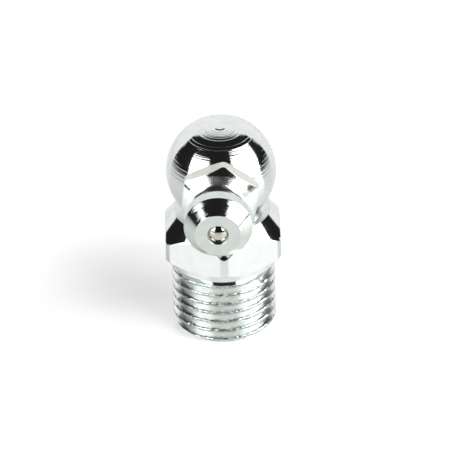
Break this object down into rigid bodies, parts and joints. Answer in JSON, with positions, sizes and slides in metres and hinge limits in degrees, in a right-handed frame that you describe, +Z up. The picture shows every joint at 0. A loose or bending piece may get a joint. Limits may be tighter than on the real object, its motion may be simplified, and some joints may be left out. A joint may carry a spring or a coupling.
{
  "type": "grease nipple",
  "caption": "Right-angle grease nipple: threaded stem with hexagon, ball elbow, and a side-facing coupler head with a spring-loaded check ball.",
  "frame": {"origin": "centre of the stem's end face, on the thread axis", "axes": "+Z up the thread axis from the stem's end to the ball, -Y along the nipple head towards its mouth"},
  "size_m": [0.0112, 0.0177, 0.0215],
  "materials": {
    "zinc_plated_steel": "turned steel with bright zinc plating, mirror bright with fine turning rings",
    "head_steel": "turned and hardened steel with bright zinc plating, satin on the nose and the collar's flats",
    "ball_steel": "polished hardened bearing ball, slightly warm",
    "spring_wire": "drawn spring wire with ground ends"
  },
  "bodies": {
    "fitting": {"elbow_body": "zinc_plated_steel", "nipple_head": "head_steel", "ball_spring": "spring_wire"},
    "check_ball": {"check_ball": "ball_steel"}
  },
  "joints": [
    {"name": "check_ball_slide", "type": "slide", "parent": "fitting", "child": "check_ball", "axis": [0, 1, 0], "range_m": [0, 0.0008], "stiffness_N_per_m": 2300, "deforming": ["ball_spring"]}
  ]
}
